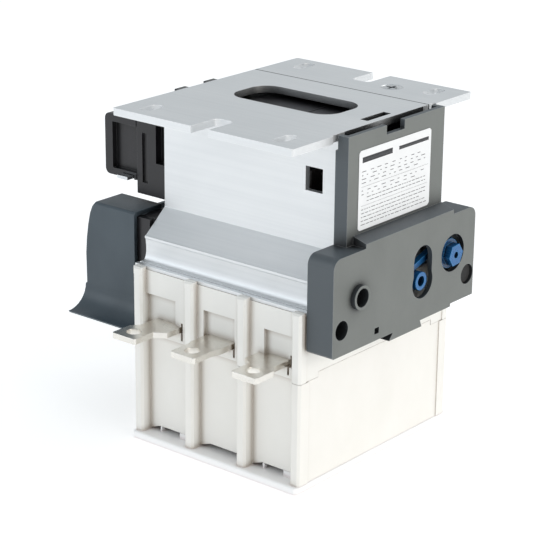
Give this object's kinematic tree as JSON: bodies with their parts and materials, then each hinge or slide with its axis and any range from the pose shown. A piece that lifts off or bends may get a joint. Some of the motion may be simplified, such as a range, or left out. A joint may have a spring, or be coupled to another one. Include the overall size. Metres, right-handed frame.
{
  "type": "ac contactor",
  "caption": "Block contactor for motor circuits, with bar terminals, a metal mounting plate, a side coil block, an arc chamber and a spring-returned magnet and contact carrier.",
  "frame": {"origin": "centre of the front face, on which the part stands, on the axis of the middle pole", "axes": "+Z from the front face to the mounting plate, +X across the poles towards the side cover with the label panel, +Y from the line terminals to the load terminals"},
  "size_m": [0.1673, 0.162, 0.168],
  "materials": {
    "frame_aluminium": "satin",
    "housing_plastic": "fine matt moulding",
    "cover_plastic": "fine matt moulding",
    "front_plastic": "fine matt moulding",
    "dark_grey_plastic": "matt",
    "shroud_plastic": "matt",
    "black_plastic": "satin",
    "blue_plastic": "gloss",
    "plated_copper": "silver plated",
    "contact_silver": "satin silver",
    "copper": "enamelled wire",
    "magnet_steel": "ground",
    "arc_steel": "coppered",
    "zinc_steel": "zinc plated",
    "cushion_rubber": "matt",
    "label_film": "satin film"
  },
  "bodies": {
    "housing": {"top_frame": "frame_aluminium", "rear_frame": "frame_aluminium", "earth_screw": "zinc_steel", "earth_nut": "zinc_steel", "foot_screws": "zinc_steel", "pole_housing": "housing_plastic", "arc_chamber_cover": "cover_plastic", "front_plate": "front_plastic", "front_screws": "zinc_steel", "line_terminal_left": "plated_copper", "line_terminal_middle": "plated_copper", "line_terminal_right": "plated_copper", "load_terminal_left": "plated_copper", "load_terminal_middle": "plated_copper", "load_terminal_right": "plated_copper", "line_arc_plates_left": "arc_steel", "line_arc_plates_middle": "arc_steel", "line_arc_plates_right": "arc_steel", "load_arc_plates_left": "arc_steel", "load_arc_plates_middle": "arc_steel", "load_arc_plates_right": "arc_steel", "line_contact_tips": "contact_silver", "load_contact_tips": "contact_silver", "terminal_screws": "zinc_steel", "magnet_core": "magnet_steel", "shading_rings": "copper", "coil_bobbin": "black_plastic", "coil_winding": "copper", "coil_lid": "black_plastic", "core_cushions": "cushion_rubber", "coil_block": "black_plastic", "coil_terminals": "zinc_steel", "coil_terminal_screws": "zinc_steel", "left_shroud": "shroud_plastic", "end_cap": "black_plastic", "side_cover": "dark_grey_plastic", "rating_label": "label_film", "side_cover_screws": "zinc_steel", "screw_plug": "black_plastic", "guide_bush": "dark_grey_plastic", "lever_pivot": "zinc_steel"},
    "carrier": {"contact_carrier": "black_plastic", "armature": "magnet_steel", "armature_screws": "zinc_steel", "moving_bridge_left": "plated_copper", "moving_bridge_middle": "plated_copper", "moving_bridge_right": "plated_copper", "bridge_contact_tips": "contact_silver", "contact_springs": "zinc_steel", "interlock_pin": "blue_plastic", "return_springs": "zinc_steel"},
    "lever": {"interlock_lever": "blue_plastic"}
  },
  "joints": [
    {"name": "carrier_slide", "type": "slide", "parent": "housing", "child": "carrier", "axis": [0, 0, 1], "range_m": [0, 0.008], "stiffness_N_per_m": 2000, "springref_m": -0.012, "deforming": ["return_springs"]},
    {"name": "lever_pivot_turn", "type": "hinge", "parent": "housing", "child": "lever", "pos_m": [0.06, 0.0372, 0.0967], "axis": [1, 0, 0], "range_deg": [-18.6, 0]}
  ],
  "couplings": [
    {"joint": "lever_pivot_turn", "follows": "carrier_slide", "rad_per_m": -40.4}
  ]
}
